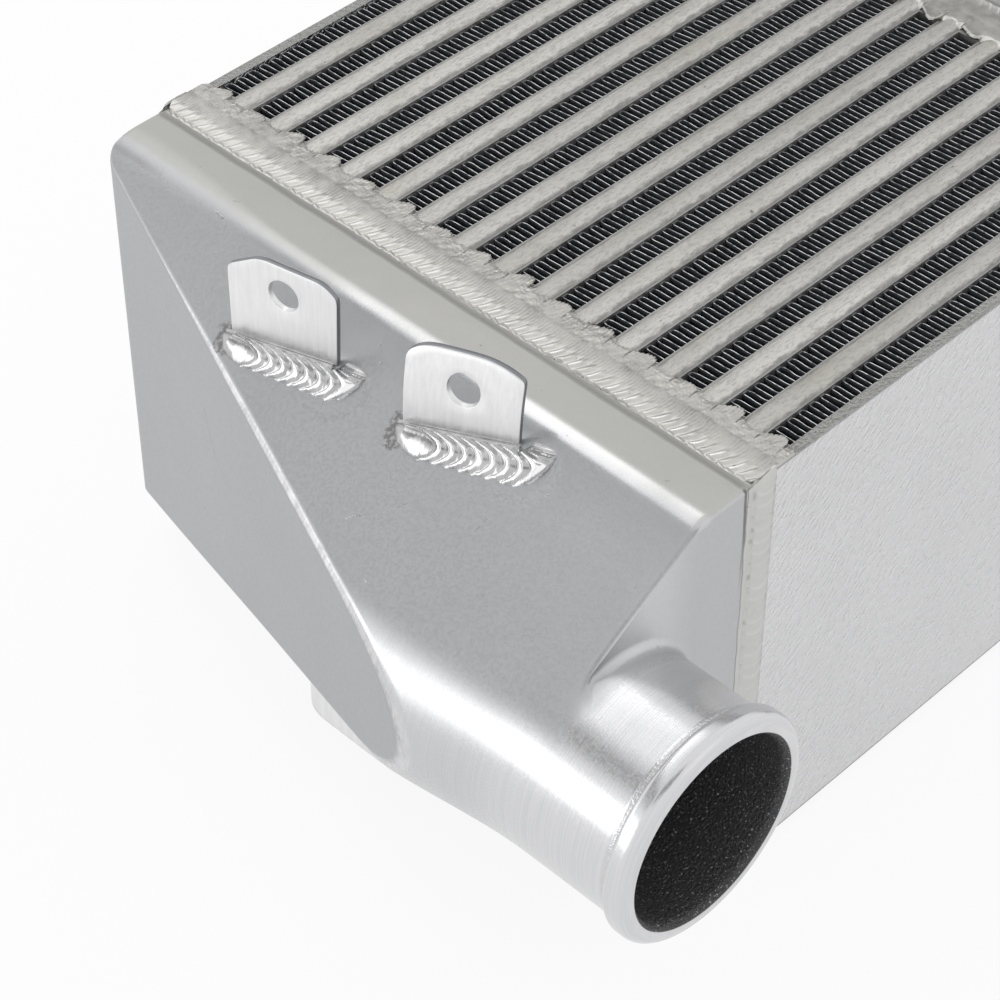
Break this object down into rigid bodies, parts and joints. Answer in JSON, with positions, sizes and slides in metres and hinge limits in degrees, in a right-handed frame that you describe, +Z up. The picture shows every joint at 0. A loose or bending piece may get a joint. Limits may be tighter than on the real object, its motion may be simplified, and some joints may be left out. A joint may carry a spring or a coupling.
{
  "type": "intercooler",
  "caption": "Air-to-air intercooler with a bar-and-plate core, two cast end tanks with hose stubs, and bolt tabs welded to one tank.",
  "frame": {"origin": "centre of the outline on the plane that the part rests on", "axes": "+X along the charge-air passages from the near tank to the far one, +Y through the stack of rows away from the hose stubs, +Z up along the cooling air"},
  "size_m": [0.3804, 0.263, 0.1683],
  "materials": {
    "cast": "satin cast skin",
    "plate": "hammered mill skin",
    "bar": "satin",
    "fin": "dull rolled strip",
    "turbulator": "dull rolled strip",
    "seam": "rippled, matt",
    "tab": "brushed",
    "tab_weld": "bright, rippled"
  },
  "bodies": {
    "root": {"tank_near": "cast", "tank_far": "cast", "seam_weld_near": "seam", "seam_weld_far": "seam", "side_plate_front": "plate", "side_plate_rear": "plate", "mount_tab_a": "tab", "mount_tab_b": "tab", "mount_tab_c": "tab", "tab_weld_a": "tab_weld", "tab_weld_b": "tab_weld", "tab_weld_c": "tab_weld", "core_air_fin_01": "fin", "core_air_fin_02": "fin", "core_air_fin_03": "fin", "core_air_fin_04": "fin", "core_air_fin_05": "fin", "core_air_fin_06": "fin", "core_air_fin_07": "fin", "core_air_fin_08": "fin", "core_air_fin_09": "fin", "core_air_fin_10": "fin", "core_air_fin_11": "fin", "core_air_fin_12": "fin", "core_air_fin_13": "fin", "core_air_fin_14": "fin", "core_air_fin_15": "fin", "core_passage_01": "bar", "core_passage_02": "bar", "core_passage_03": "bar", "core_passage_04": "bar", "core_passage_05": "bar", "core_passage_06": "bar", "core_passage_07": "bar", "core_passage_08": "bar", "core_passage_09": "bar", "core_passage_10": "bar", "core_passage_11": "bar", "core_passage_12": "bar", "core_passage_13": "bar", "core_passage_14": "bar", "turbulator_01": "turbulator", "turbulator_02": "turbulator", "turbulator_03": "turbulator", "turbulator_04": "turbulator", "turbulator_05": "turbulator", "turbulator_06": "turbulator", "turbulator_07": "turbulator", "turbulator_08": "turbulator", "turbulator_09": "turbulator", "turbulator_10": "turbulator", "turbulator_11": "turbulator", "turbulator_12": "turbulator", "turbulator_13": "turbulator", "turbulator_14": "turbulator"}
  },
  "joints": []
}
